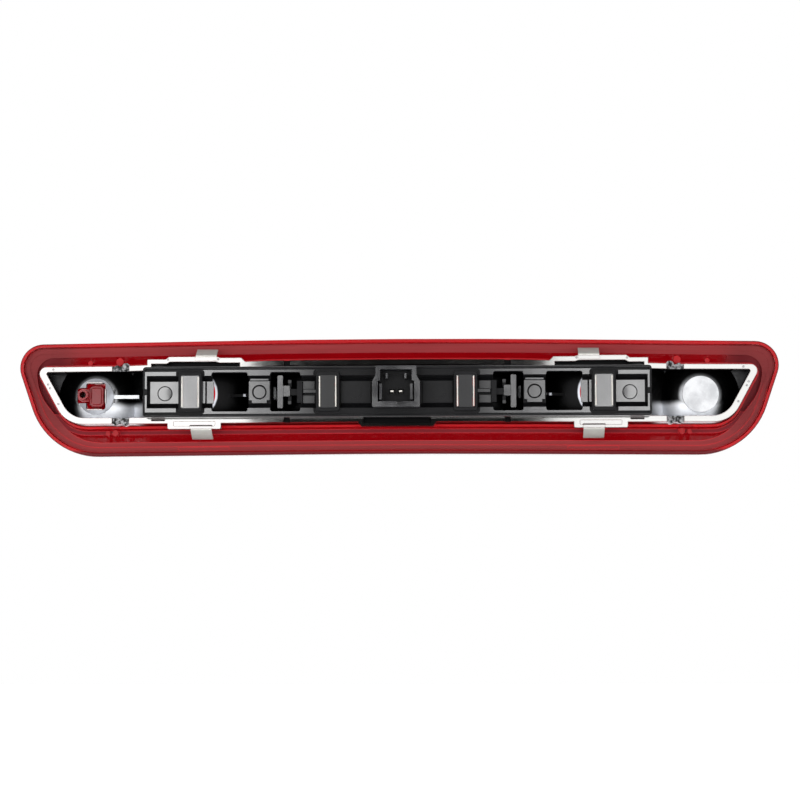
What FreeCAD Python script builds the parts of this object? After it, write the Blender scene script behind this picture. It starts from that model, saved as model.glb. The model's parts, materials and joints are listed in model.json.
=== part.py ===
"""High-mount third brake light of a van tailgate, seen from inside the vehicle as it is unpacked.

Frame: X runs along the lamp, +Z is up on the vehicle, +Y points out of the vehicle, the way the light shines.
The origin lies in the plane of the lens rim's seat, at the middle of the opening in the tailgate panel.
All sizes are millimetres.
"""
import FreeCAD, Part
import math
import os

from FreeCAD import Vector

OUT = "parts"

# ---------------------------------------------------------------- driving dimensions
# Lens. "Rear" is the side towards the vehicle's inside, at the lower Y.
RIM_WIDTH = 2.2              # rim that seats on the panel
RIM_ROUND = 0.6              # rounding of the rim's edges
LAND_Y = 3.2                 # inner part of the matt land behind the rim, set in from the seat
LAND_STEP = 0.5              # the land's outer part stands this much nearer the seat
LAND_STEP_IN = 5.0           # distance of that step from the lens's edge
PAD_RISE = 0.3               # height of the small pads on the land
PAD_X = (88.0, 114.7)
PAD_Z = 26.4
PAD_WIDE = 1.8
FLOOR_SKIN = 3.0             # thickness left in front of the channel that the housing is bonded into
SKIN = 2.8                   # thickness of the lens skin in front of the bulbs
CROWN_Y = 12.5               # foremost point of the lens
CROWN_R_Z = 92.5             # crown radius across the lamp's height
CROWN_R_X = 6500.0           # bow radius along the lamp
WELD_GAP = 0.7               # gap between the housing's wall and the lens's weld rib
WELD_RIB = 1.1
WELD_RIB_REAR = -1.4
RIDGE_IN = 2.5               # low ridge in the lower run of the channel, from the housing's wall
RIDGE_OUT = 4.9
RIDGE_REAR = 3.3
RIDGE_TOP = -8.0             # the ridge ends at this height on each side
ROOTED = 0.5                 # how far ribs and studs reach into the skin they stand on
# Moulded studs in the channel, right side: x, z, radius, rear end.
STUDS = [(144.6, 18.6, 1.9, -4.5), (147.0, -18.4, 1.6, -2.5), (160.5, 18.4, 1.2, -0.5), (151.0, -18.6, 1.2, -1.5)]
DIMPLE = (191.8, 20.4, 1.3)  # gate mark in each upper corner: x, z, radius

# Bulbs
MID_Z = 1.4                  # height of the bulb axis above the rim's middle
BULB_PITCH = 70.7
BULB_COUNT = 4
BULB_X = [(i - (BULB_COUNT - 1) / 2) * BULB_PITCH for i in range(BULB_COUNT)]

# Reflector housing
FRAME_REAR = -13.0           # rear end of the housing's wall
WEB = 1.8                    # thickness of the reflector skin
WEB_REAR = -12.3             # the skin between the bowls reaches back no further than this
WEB_FRONT = 3.5              # front of the web between the bowls
BOWL_R = 47.0                # radius of the four bulb bowls
BOWL_APEX = -10.5            # rearmost point of a bowl's mirror
BOWL_REACH = 35.0            # a bowl's mirror ends this far from its bulb
BULB_HOLE_R = 12.0
END_BOWL_X = 156.0
END_BOWL_R = 22.0
END_BOWL_APEX = -9.5
END_BOWL_INNER = 137.2       # end bowls start here, beside the last bulb bowl
DISC_R = 9.3                 # flat pad behind each end bowl
DISC_REAR = -12.3
GUSSET_T = 1.4               # ribs behind the web, where two bowls meet
GUSSET_REAR = -12.1
GUSSET_Z = MID_Z - 1.0
SPLICE_X = 55.4              # notch in the frame beside each latch
SPLICE_WIDE = 3.0
LUG_NOTCH = (138.6, 147.4)   # gap in the frame's flange where the weld lugs stand
LUG_REAR = -11.7
LUGS = [(140.4, 15.3, 2.0), (145.0, 14.6, 1.5), (140.6, -13.4, 1.9), (145.4, -13.6, 1.4)]
PIN_MARK_R = 0.45            # ejector marks in the flange, right side
PIN_MARKS = [(180.6, 6.3), (179.6, 4.3), (175.2, -3.9), (178.0, 14.0), (92.4, 19.0), (118.4, 18.9)]

# Bulb carrier
CARRIER_HALF = 130.5
CARRIER_HIGH = 13.0          # half the carrier's height
CARRIER_FRONT = -13.3
SKIRT_T = 1.1                # wall that runs all round the carrier
RIM_REAR = -21.5
RAIL_REAR = -20.8            # raised lands along the tray
RAIL_BASE = -19.6            # what the lands stand on
VENT_Y = -19.0               # floor of the notch in each end wall
RAIL_IN = 8.4                # the lands' inner and outer edges, from the carrier's middle
RAIL_OUT = 11.3
RAIL_OUT_END = 10.4          # outer edge of the short land at each end
LAND_INNER_X = (37.0, 101.5)
LAND_OUTER_X = (110.2, 129.3)
LAND_END = 0.9               # width of the land along each end wall
TRAY_REAR = -15.2            # tray floor, rear side
TRAY_FRONT = -13.3
PAD_HALF = 5.6               # half the height of the raised pads in the tray
PAD_REAR = -16.8
WINDOW_HALF = 10.15
WINDOWS = [(76.5, 95.2), (49.4, 65.0)]
BOSS_REAR = -18.2
BOSS_HALF = 5.3

BOX_HALF_X = 6.1             # bulb socket box
BOX_HALF_Z = 10.2
BOX_REAR = -21.8
HALO = 1.3                   # clearance round a box, sunk into the lands
LABEL_HALF_X = 4.75
LABEL_HALF_Z = 8.3
LABEL_REAR = -21.3
SOCKET_HALF_X = 3.4          # hollow for the wedge base
SOCKET_HALF_Z = 5.0
CONTACT_X = 4.15             # contact spring's distance from the bulb's middle plane
CONTACT_T = 0.6
CONTACT_HALF_Z = 7.8

# Connector header
HEADER_REAR = -31.0
HEADER_FLOOR = -19.0
PIN_X = 2.2
PIN_Z = 1.0
PIN_T = 0.8
PIN_W = 1.5
PIN_TIP = -25.5
PIN_WELL = 1.6               # half the width of the square well round each pin

# Conductor rails
RAIL_Z = 10.5                # inner face, from the carrier's middle
RAIL_T = 0.7
RAIL_HALF = 111.5
RAIL_Y = (-18.2, -13.7)

# Retaining clips
CLIP_T = 0.8
CLIP_W = 10.8
CLIP_REAR = -11.9            # the clip's root, as far behind the seat as this
CLIP_TIP = -3.0
CLIP_BEAD = 0.75
UPPER_CLIP = {"x": 98.8, "root_z": 20.3, "tip_z": 25.0}
LOWER_CLIP = {"x": 101.3, "root_z": -17.1, "tip_z": -21.9}

# Washer jet
JET_X = -156.0
JET_Z = -0.2
JET_R = 5.9
JET_REAR = -12.0
JET_BLOCK_X = (-3.6, 4.4)    # the block behind the lens, from the jet's axis
JET_BLOCK_Z = (-5.8, 6.0)
JET_LOBE_R = 3.4             # the block's lobe that carries the spigot
GALLERY_Y = -4.6             # cross passage from the spigot to the nozzle
GALLERY_R = 1.3
SPIGOT_X = -162.0
SPIGOT_Z = 0.5
SPIGOT_R = 2.6
SPIGOT_BORE = 1.7
SPIGOT_REAR = -17.5
SPIGOT_ROOT = -12.5
BALL_R = 3.2
BALL_Y = 8.4
BALL_GAP = 0.1
BOND = 0.05                  # bond line between pieces that are glued or welded

# Latches of the carrier
LATCH_AXIS_X = 50.2          # pivot bead of a latch lever, from the lamp's middle
LATCH_AXIS_Y = -17.0
LATCH_BEAD = 0.9
LATCH_HALF_Z = 3.4           # half the bead's length

# Wedge bulb
GLASS_R = 5.1
GLASS_T = 0.6
GLASS_TIP = 3.3
GLASS_NECK = -11.6
WEDGE_HALF_X = 1.1
WEDGE_HALF_Z = 4.75
WEDGE_END = -19.9
FILAMENT_Y = -0.8
FILAMENT_R = 0.35
LEAD_R = 0.25
LEAD_Z = 2.0

# Outlines are right halves, (x, z, corner radius), from the top middle to the bottom middle.
LENS = [(0, 31.1, 6500), (202.4, 28.3, 12.4), (182.5, -30.72, 37), (0, -29.35, 7000)]
CHANNEL = [(0, 24.4, 6500), (190.6, 21.3, 9), (187.6, 2.0, 25), (168.0, -23.0, 26), (0, -22.1, 7000)]
FRAME = [(0, 18.6, 5000), (62, 18.2, 400), (146, 15.5, 400), (187.4, 15.2, 3.4), (171.3, -14.4, 15),
         (0, -13.6, 7000)]
FRAME_INNER = [(0, 15.9, 5000), (62, 15.5, 400), (140, 13.0, 400), (182.2, 12.7, 1.0), (169.0, -11.2, 12),
               (0, -10.9, 7000)]

ENDS = (-1, 1)               # left and right, or lower and upper
FAR = 60.0                   # more than half the lamp's height or depth
FAR_X = 215.0                # more than half its length
PAST = 1.0                   # how far a cutter runs past the face it opens


# ---------------------------------------------------------------- outlines
def both_halves(half):
    """The whole outline of a half that starts and ends on the middle plane."""
    return half + [(-x, z, r) for x, z, r in reversed(half[1:-1])]


def inset(corners, distance):
    """The outline moved inwards by distance, or outwards if it is negative. Corners run clockwise."""
    count = len(corners)
    lines = []
    for i in range(count):
        x0, z0, _ = corners[i]
        x1, z1, _ = corners[(i + 1) % count]
        length = math.hypot(x1 - x0, z1 - z0)
        ux, uz = (x1 - x0) / length, (z1 - z0) / length
        lines.append((x0 + uz * distance, z0 - ux * distance, ux, uz))
    moved = []
    for i in range(count):
        ax, az, aux, auz = lines[i - 1]
        bx, bz, bux, buz = lines[i]
        turn = aux * buz - auz * bux
        along = ((bx - ax) * buz - (bz - az) * bux) / turn
        radius = corners[i][2]
        if radius:
            radius = max(0.3, radius - distance if turn < 0 else radius + distance)
        moved.append((ax + aux * along, az + auz * along, radius))
    return moved


def outline(corners, y):
    """A closed wire of straight runs and corner arcs in the plane at y."""
    count = len(corners)
    tangents = []
    for i in range(count):
        x, z, radius = corners[i]
        px, pz, _ = corners[i - 1]
        nx, nz, _ = corners[(i + 1) % count]
        here = Vector(x, y, z)
        back = (Vector(px, y, pz) - here).normalize()
        ahead = (Vector(nx, y, nz) - here).normalize()
        if not radius:
            tangents.append((here, None, here))
            continue
        half_angle = back.getAngle(ahead) / 2
        reach = radius / math.tan(half_angle)
        bisector = (back + ahead).normalize()
        middle = here + bisector * (radius / math.sin(half_angle) - radius)
        tangents.append((here + back * reach, middle, here + ahead * reach))
    edges = []
    for i in range(count):
        start, middle, end = tangents[i]
        if middle is not None:
            edges.append(Part.Arc(start, middle, end).toShape())
        following = tangents[(i + 1) % count][0]
        if end.distanceToPoint(following) > 1e-6:
            edges.append(Part.LineSegment(end, following).toShape())
    return Part.Wire(edges)


def prism(corners, y0, y1):
    """The outline's solid between two depths."""
    return Part.Face(outline(corners, y0)).extrude(Vector(0, y1 - y0, 0))


def ring(outer, inner, y0, y1):
    return prism(outer, y0, y1).cut(prism(inner, y0 - 1, y1 + 1))


# ---------------------------------------------------------------- plain solids
def block(x0, x1, y0, y1, z0, z1):
    low = Vector(min(x0, x1), min(y0, y1), min(z0, z1))
    return Part.makeBox(abs(x1 - x0), abs(y1 - y0), abs(z1 - z0), low)


def rounded_block(x0, x1, y0, y1, z0, z1, radius):
    """A block whose corners are round as seen along Y."""
    xs, zs = sorted((x0, x1)), sorted((z0, z1))
    corners = [(xs[0], zs[1], radius), (xs[1], zs[1], radius), (xs[1], zs[0], radius), (xs[0], zs[0], radius)]
    return prism(corners, min(y0, y1), max(y0, y1))


def cylinder_y(x, z, radius, y0, y1):
    low = min(y0, y1)
    return Part.makeCylinder(radius, abs(y1 - y0), Vector(x, low, z), Vector(0, 1, 0))


def rod(start, end, radius):
    """A round rod between two points."""
    a, b = Vector(*start), Vector(*end)
    return Part.makeCylinder(radius, (b - a).Length, a, b - a)


def rounded_rear(shape, y, radius):
    """The shape with the edges of its rear face at y rounded."""
    edges = [e for e in shape.Edges if abs(e.BoundBox.YMax - y) < 1e-4 and e.BoundBox.YLength < 1e-4]
    return shape.makeFillet(radius, edges)


def plate_x(points, x0, x1):
    """A flat outline of (y, z) points, extruded from x0 to x1."""
    wire = Part.makePolygon([Vector(x0, y, z) for y, z in points + points[:1]])
    return Part.Face(wire).extrude(Vector(x1 - x0, 0, 0))


def plate_z(points, z0, z1):
    """A flat outline of (x, y) points, extruded from z0 to z1."""
    wire = Part.makePolygon([Vector(x, y, z0) for x, y in points + points[:1]])
    return Part.Face(wire).extrude(Vector(0, 0, z1 - z0))


def fuse(shapes):
    first, rest = shapes[0], shapes[1:]
    return first.multiFuse(rest).removeSplitter() if rest else first


def mirrored(shape):
    return shape.mirror(Vector(0, 0, 0), Vector(1, 0, 0))


def with_mirror(shapes):
    return shapes + [mirrored(s) for s in shapes]


def write(name, shape):
    solids = shape.Solids
    if not solids or not all(s.isValid() for s in solids):
        raise ValueError(f"{name}: {len(solids)} solids, valid: {[s.isValid() for s in solids]}")
    result = solids[0] if len(solids) == 1 else Part.makeCompound(solids)
    result.exportStep(os.path.join(OUT, name + ".step"))
    print(f"{name}: {len(solids)} solid(s), {sum(s.Volume for s in solids) / 1000:.2f} cm3")


# ---------------------------------------------------------------- outer lens
def crown(depth):
    """Everything behind the lens's curved front, moved back by depth."""
    radius = CROWN_R_Z - depth
    centre_y = CROWN_Y - CROWN_R_Z
    reach = 40.0
    rear = -30.0
    front_at = centre_y + math.sqrt(radius ** 2 - reach ** 2)
    arc = Part.Arc(Vector(0, front_at, -reach), Vector(0, centre_y + radius, 0), Vector(0, front_at, reach))
    sides = Part.makePolygon([Vector(0, front_at, reach), Vector(0, rear, reach), Vector(0, rear, -reach),
                              Vector(0, front_at, -reach)])
    face = Part.Face(Part.Wire([arc.toShape()] + sides.Edges))
    half_turn = math.degrees(math.asin(FAR_X / (CROWN_R_X + rear)))
    axis = Vector(0, CROWN_Y - CROWN_R_X, 0)
    face.rotate(axis, Vector(0, 0, 1), -half_turn)
    return face.revolve(axis, Vector(0, 0, 1), 2 * half_turn)


def lens_front_y(x, z):
    across = CROWN_R_Z - math.sqrt(CROWN_R_Z ** 2 - z ** 2)
    along = CROWN_R_X - math.sqrt(CROWN_R_X ** 2 - x ** 2)
    return CROWN_Y - across - along


def lens_shell():
    """Rim, stepped land, channel and the hollow in front of the bulbs."""
    lens, channel, cavity = both_halves(LENS), both_halves(CHANNEL), both_halves(FRAME_INNER)
    cavity_gap = 0.4
    body = prism(lens, 0, FAR).common(crown(0))
    body = body.cut(prism(inset(lens, RIM_WIDTH), -PAST, LAND_Y - LAND_STEP))
    body = body.cut(prism(inset(lens, LAND_STEP_IN), -PAST, LAND_Y))
    rim_edges = [e for e in body.Edges if e.BoundBox.YMax < 0.01]
    body = body.makeFillet(RIM_ROUND, rim_edges)
    body = body.cut(prism(channel, LAND_Y - PAST, FAR).common(crown(FLOOR_SKIN)))
    return body.cut(prism(inset(cavity, cavity_gap), LAND_Y, FAR).common(crown(SKIN)))


def lens_details():
    """Weld rib, ridge, pads and studs, all rooted in the skin."""
    frame = both_halves(FRAME)
    rooted = crown(FLOOR_SKIN - ROOTED)
    weld_rib = ring(inset(frame, -WELD_GAP - WELD_RIB), inset(frame, -WELD_GAP), WELD_RIB_REAR, FAR)
    ridge = ring(inset(frame, -RIDGE_OUT), inset(frame, -RIDGE_IN), RIDGE_REAR, FAR)
    ridge = ridge.common(block(-FAR_X, FAR_X, 0, FAR, -FAR, RIDGE_TOP))
    studs = [cylinder_y(x, z, radius, rear, FAR).common(rooted) for x, z, radius, rear in STUDS]
    outer_land = LAND_Y - LAND_STEP
    half_wide = PAD_WIDE / 2
    land_pads = [rounded_block(*PAD_X, outer_land - PAD_RISE, LAND_Y + 0.1, z - half_wide, z + half_wide, 0.8)
                 for z in (PAD_Z, -PAD_Z)]
    return [weld_rib.common(rooted), ridge.common(rooted)] + with_mirror(land_pads + studs)


def outer_lens():
    body = fuse([lens_shell()] + lens_details())
    x, z, radius = DIMPLE
    for s in ENDS:
        body = body.cut(cylinder_y(s * x, z, radius, 0, LAND_Y - LAND_STEP + 0.3))
    seat = ball_shape(BALL_R + BALL_GAP)
    jet_hole = cylinder_y(JET_X, JET_Z, JET_R - 1.0, 0, lens_front_y(JET_X, JET_Z) - SKIN / 2)
    return body.cut(seat).cut(jet_hole)


# ---------------------------------------------------------------- reflector housing
def bowl(x, radius, apex, z):
    return Part.makeSphere(radius, Vector(x, apex + radius, z))


def slab(x0, x1, y0, y1):
    """A block over the lamp's whole height."""
    return block(x0, x1, y0, y1, -FAR, FAR)


def reflector_web(inside):
    """The mirrored skin: four bulb bowls and a smaller bowl at each end, which meet in ridges."""
    bowls = [(x, BOWL_R, BOWL_APEX, MID_Z) for x in BULB_X]
    bowls += [(s * END_BOWL_X, END_BOWL_R, END_BOWL_APEX, 0) for s in ENDS]
    web = inside.common(slab(-FAR_X, FAR_X, WEB_REAR, WEB_FRONT))
    behind = slab(-FAR_X, FAR_X, WEB_REAR - PAST, WEB_FRONT - WEB)
    for x, radius, apex, z in bowls:
        behind = behind.cut(bowl(x, radius + WEB, apex - WEB, z))
    web = web.cut(behind)
    for x, radius, apex, z in bowls:
        web = web.cut(bowl(x, radius, apex, z))
    return web


def gusset(x, reach_left=16.0, reach_right=16.0):
    """The thin rib that stands behind the web where two bowls meet."""
    half_top, half_root = 4.0, 6.0
    shoulder_y, root_y = -8.2, 0.5
    points = [(x - reach_left, shoulder_y), (x - half_top, GUSSET_REAR), (x + half_top, GUSSET_REAR),
              (x + reach_right, shoulder_y), (x + half_root, root_y), (x - half_root, root_y)]
    return plate_z(points, GUSSET_Z - GUSSET_T / 2, GUSSET_Z + GUSSET_T / 2)


def clip_bump():
    """The upper wall's step outwards, which leaves room for the retaining clip. Right side."""
    outer = [(77.4, 16.6, 0), (80.6, 19.7, 0), (91.5, 19.7, 0), (93.3, 20.3, 0), (118.0, 20.3, 0),
             (119.6, 19.0, 0), (129.2, 19.0, 0), (129.2, 14.4, 0), (77.4, 14.4, 0)]
    inner = [(81.2, 13.0, 0), (81.2, 17.2, 0), (91.8, 17.2, 0), (93.6, 17.8, 0), (117.4, 17.8, 0),
             (119.2, 16.8, 0), (127.2, 16.8, 0), (127.2, 13.0, 0)]
    outer_front, inner_front = -4.0, -5.8
    return prism(outer, FRAME_REAR, outer_front), prism(inner, FRAME_REAR - PAST, inner_front)


def sill():
    """The ledge below the connector, with the slot that a screwdriver is put in."""
    ledge = prism([(20.5, -13.5, 0), (18.6, -15.9, 0), (-18.6, -15.9, 0), (-20.5, -13.5, 0)], FRAME_REAR, -6.0)
    space = block(-17.4, 17.4, FRAME_REAR - PAST, -8.5, -14.3, -10.5)
    return ledge, space


def reflector_housing():
    inner = both_halves(FRAME_INNER)
    wall = ring(both_halves(FRAME), inner, FRAME_REAR, FAR).common(crown(FLOOR_SKIN))
    lap = 0.3
    inside = prism(inset(inner, -lap), -FAR, FAR)
    bump, bump_space = clip_bump()
    ledge, ledge_space = sill()
    bracket = rounded_block(91.0, 118.6, FRAME_REAR, -7.5, -17.1, -11.6, 0.8)
    rib_beside_jet = block(-149, -133.5, DISC_REAR + 0.1, -2.0, -1.2, 0.55)
    discs = [cylinder_y(s * END_BOWL_X, 0, DISC_R, DISC_REAR, END_BOWL_APEX + 0.5) for s in ENDS]

    shapes = [wall, ledge, rib_beside_jet] + with_mirror([bump, bracket]) + [reflector_web(inside)] + discs
    shapes += [gusset(0)] + with_mirror([gusset(BULB_PITCH, reach_left=4.5)])
    body = fuse(shapes)
    for x in BULB_X:
        reach = slab(x - BOWL_REACH, x + BOWL_REACH, -FAR, FAR)
        body = body.cut(bowl(x, BOWL_R, BOWL_APEX, MID_Z).common(reach).common(inside))
        body = body.cut(cylinder_y(x, MID_Z, BULB_HOLE_R, -FAR, 0))
    for s in ENDS:
        reach = slab(s * END_BOWL_INNER, s * FAR_X, -FAR, FAR)
        body = body.cut(bowl(s * END_BOWL_X, END_BOWL_R, END_BOWL_APEX, 0).common(reach).common(inside))
    body = cut_wall_details(body, bump_space, ledge_space)
    return fuse([body] + jet_window_lips() + with_mirror(wall_details()))


def cut_wall_details(body, bump_space, ledge_space):
    """Spaces, notches and slots in the wall, and the opening for the washer jet."""
    rear = FRAME_REAR - PAST
    cuts = [ledge_space, mirrored(bump_space), bump_space]
    gap = 0.6
    lobe_low, lobe_high = SPIGOT_Z - JET_LOBE_R - gap, SPIGOT_Z + JET_LOBE_R + gap
    cuts.append(rounded_block(JET_X - 5.0, JET_X + 5.1, -FAR, 0, -6.8, 7.0, 1.2))
    cuts.append(rounded_block(SPIGOT_X - JET_LOBE_R - gap, JET_X, -FAR, 0, lobe_low, lobe_high, 1.2))
    for s in ENDS:
        for z0, z1 in ((13, 21), (-16, -10)):
            cuts.append(block(s * SPLICE_X, s * (SPLICE_X + SPLICE_WIDE), rear, -10.5, z0, z1))
        for z0, z1 in ((11, 17), (-17, -10)):
            cuts.append(block(s * LUG_NOTCH[0], s * LUG_NOTCH[1], rear, -11.4, z0, z1))
        for clip in (UPPER_CLIP, LOWER_CLIP):
            cuts.append(clip_slot(s, clip))
        for x, z in PIN_MARKS:
            cuts.append(cylinder_y(s * x, z, PIN_MARK_R, rear, FRAME_REAR + 0.5))
        cuts.append(block(s * 120.0, s * 127.0, rear, -10.0, -12.9, -12.0))
        cuts.append(rounded_block(s * 94.0, s * 115.6, rear, FRAME_REAR + 0.25, -15.6, -13.2, 0.5))
    for cutter in cuts:
        body = body.cut(cutter)
    return body


def jet_window_lips():
    """Thin lips that stand round three sides of the washer jet's opening, and the stop beside them."""
    lip, rear = 0.55, FRAME_REAR - 0.2
    upper = block(-160.6, -152.3, rear, -7.5, 6.75, 6.75 + lip)
    lower = block(-160.6, -152.3, rear, -7.5, -6.6 - lip, -6.6)
    side = block(-151.0, -151.0 + lip, rear, -6.0, -3.6, 3.6)
    stop = block(-150.6, -146.2, LUG_REAR, -1.5, -3.2, 3.6)
    return [upper, lower, side, stop]


def wall_details():
    """Weld lugs on the wall, ledges that the bulb carrier rests on, and the catches of its two latches."""
    lugs = [cylinder_y(x, z, radius, LUG_REAR, -6.0) for x, z, radius in LUGS]
    ledges = [block(x - 3, x + 3, CARRIER_FRONT + 0.1, -10.4, z0, z1)
              for x in (48.0, 72.0) for z0, z1 in ((MID_Z + 11.4, 16.4), (-12.6, MID_Z - 11.4))]
    catch_x, half, cheek = (62.4, 63.8), 3.2, 0.9
    catch = block(*catch_x, -12.2, -11.2, MID_Z - half, MID_Z + half)
    cheeks = [block(*catch_x, -12.2, -2.2, z0, z0 + cheek) for z0 in (MID_Z - half, MID_Z + half - cheek)]
    return lugs + ledges + [catch] + cheeks


# ---------------------------------------------------------------- retaining clips
def clip_sign(clip):
    return 1 if clip["root_z"] > 0 else -1


def clip_axis_z(clip):
    """Height of the rolled bead that a clip turns on, in its slot in the housing's wall."""
    return clip["root_z"] - clip_sign(clip) * 0.9


def clip_slot(side, clip):
    x, s = side * clip["x"], clip_sign(clip)
    half_width, play = CLIP_W / 2 + 0.3, CLIP_BEAD + 0.2
    return block(x - half_width, x + half_width, CLIP_REAR - play, CLIP_REAR + play,
                 clip_axis_z(clip) - s * 1.1, clip["root_z"] + s * PAST)


def retaining_clip(side, clip):
    """A spring-steel leaf: a rolled bead in the wall's slot, a shoulder, and a leg that splays to the tip."""
    x, s = side * clip["x"], clip_sign(clip)
    root, tip = clip["root_z"], clip["tip_z"]
    bead_z = clip_axis_z(clip)
    bead = Part.makeCylinder(CLIP_BEAD, CLIP_W, Vector(x - CLIP_W / 2, CLIP_REAR, bead_z), Vector(1, 0, 0))
    out, half = s * CLIP_T, CLIP_T / 2
    profile = [(CLIP_REAR - half, bead_z), (CLIP_REAR - half, root + s * 0.45),
               (CLIP_REAR + 0.2, root + s * 0.2 + out), (CLIP_TIP - 0.6, tip), (CLIP_TIP + 0.9, tip - s * 0.2),
               (CLIP_TIP + 0.9, tip - s * 0.95), (CLIP_TIP - 0.5, tip - out),
               (CLIP_REAR + half, root + s * 0.35), (CLIP_REAR + half, bead_z)]
    leaf = plate_x(profile, x - CLIP_W / 2, x + CLIP_W / 2)
    return fuse([bead, leaf])


# ---------------------------------------------------------------- washer jet
def ball_shape(radius):
    """A ball about the jet's centre, or the seat round it."""
    return Part.makeSphere(radius, Vector(JET_X, BALL_Y, JET_Z), Vector(0, 1, 0))


def washer_jet_body():
    """Nozzle body bonded behind the lens, with its hose spigot alongside."""
    seat_front = lens_front_y(JET_X, JET_Z) - SKIN / 2
    neck = cylinder_y(JET_X, JET_Z, JET_R - 1.0 - BOND, seat_front - 4.0, seat_front - BOND)
    shoulder = crown(SKIN + BOND).common(cylinder_y(JET_X, JET_Z, JET_R, -1.4, FAR))
    x0, x1 = (JET_X + x for x in JET_BLOCK_X)
    z0, z1 = JET_BLOCK_Z
    behind = rounded_rear(rounded_block(x0, x1, JET_REAR, -1.0, z0, z1, 2.6), JET_REAR, 0.9)
    step_rear = JET_REAR - 0.7
    step = rounded_rear(rounded_block(x0 + 1.2, x1 - 1.2, step_rear, JET_REAR + 1, z0 + 1.4, z1 - 1.4, 1.4),
                        step_rear, 0.6)
    lobe = cylinder_y(SPIGOT_X, SPIGOT_Z, JET_LOBE_R, SPIGOT_ROOT, -2.0)
    bridge_half = JET_LOBE_R - 0.3
    bridge = block(SPIGOT_X, x0 + 1.5, JET_REAR + 0.4, -2.0, SPIGOT_Z - bridge_half, SPIGOT_Z + bridge_half)
    spigot = cylinder_y(SPIGOT_X, SPIGOT_Z, SPIGOT_R, SPIGOT_REAR, SPIGOT_ROOT + 1)
    body = fuse([shoulder, neck, behind, step, lobe, bridge, spigot])
    bore = cylinder_y(SPIGOT_X, SPIGOT_Z, SPIGOT_BORE, SPIGOT_REAR - PAST, GALLERY_Y + 1.4)
    cross = rod((SPIGOT_X, GALLERY_Y, SPIGOT_Z), (JET_X, GALLERY_Y, JET_Z), GALLERY_R - 0.2)
    gallery = cylinder_y(JET_X, JET_Z, GALLERY_R, GALLERY_Y - 1.8, BALL_Y - BALL_R)
    seat = ball_shape(BALL_R + BALL_GAP)
    return body.cut(bore).cut(cross).cut(gallery).cut(seat)


def washer_jet_ball():
    """The aimable ball: a flat front, a fine orifice, and a wider feed behind it."""
    around = BALL_R + PAST
    flat = block(JET_X - around, JET_X + around, BALL_Y + BALL_R - 0.5, BALL_Y + around, JET_Z - around,
                 JET_Z + around)
    orifice = cylinder_y(JET_X, JET_Z, 0.35, BALL_Y, BALL_Y + around)
    feed = cylinder_y(JET_X, JET_Z, 1.0, BALL_Y - around, BALL_Y + 1.4)
    return ball_shape(BALL_R).cut(flat).cut(orifice).cut(feed)


# ---------------------------------------------------------------- bulb carrier
def z_band(low, high):
    """The same band above and below the carrier's middle."""
    return [(MID_Z + low, MID_Z + high), (MID_Z - high, MID_Z - low)]


def carrier_outline(grow_in):
    half_x, half_z = CARRIER_HALF - grow_in, CARRIER_HIGH - grow_in
    radius = max(0.5, 1.6 - grow_in)
    return [(-half_x, MID_Z + half_z, radius), (half_x, MID_Z + half_z, radius),
            (half_x, MID_Z - half_z, radius), (-half_x, MID_Z - half_z, radius)]


def lands():
    """Raised lands along both sides of the tray, sunk where they pass a socket box."""
    made = []
    for z0, z1 in z_band(RAIL_IN, RAIL_OUT):
        for s in ENDS:
            made.append(block(s * LAND_INNER_X[0], s * LAND_INNER_X[1], RAIL_REAR, RAIL_BASE + PAST, z0, z1))
    for z0, z1 in z_band(RAIL_IN, RAIL_OUT_END):
        for s in ENDS:
            made.append(block(s * LAND_OUTER_X[0], s * LAND_OUTER_X[1], RAIL_REAR, RAIL_BASE + PAST, z0, z1))
    wall_x = CARRIER_HALF - SKIRT_T
    for s in ENDS:
        made.append(block(s * (wall_x - LAND_END), s * (wall_x + 0.1), RAIL_REAR, TRAY_REAR + 0.1,
                          MID_Z - RAIL_OUT_END, MID_Z + RAIL_OUT_END))
    halos = []
    for x in BULB_X:
        half_x, half_z, corner = BOX_HALF_X + HALO, BOX_HALF_Z + HALO, 1.8
        halos.append(prism([(x - half_x, MID_Z + half_z, corner), (x + half_x, MID_Z + half_z, corner),
                            (x + half_x, MID_Z - half_z, corner), (x - half_x, MID_Z - half_z, corner)],
                           RAIL_REAR - PAST, RAIL_BASE))
    for halo in halos:
        made = [land.cut(halo) for land in made]
    return made


def tray():
    """The long tray: floor, rails, outer skirt and end walls."""
    inner = CARRIER_HALF - SKIRT_T
    solids = [block(-inner - 0.5, inner + 0.5, TRAY_REAR, TRAY_FRONT, MID_Z - 9, MID_Z + 9)]
    for z0, z1 in z_band(RAIL_IN, CARRIER_HIGH - SKIRT_T + 0.5):
        solids.append(block(-inner - 0.5, inner + 0.5, RAIL_BASE, TRAY_FRONT, z0, z1))
    skirt = ring(carrier_outline(0), carrier_outline(SKIRT_T), RIM_REAR, CARRIER_FRONT)
    body = fuse(solids + lands() + [rounded_rear(skirt, RIM_REAR, 0.5)])
    vent_half_z = 1.6
    for s in ENDS:
        body = body.cut(block(s * (inner - PAST), s * (CARRIER_HALF + PAST), RIM_REAR - PAST, VENT_Y,
                              MID_Z - vent_half_z, MID_Z + vent_half_z))
        low, high = MID_Z + s * (PAD_HALF + 0.05), MID_Z + s * RAIL_IN
        groove = [(TRAY_REAR - 0.1, low), (TRAY_REAR - 0.1, high), (TRAY_REAR + 1.3, (low + high) / 2)]
        body = body.cut(plate_x(groove, -inner, inner))
    return body


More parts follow.
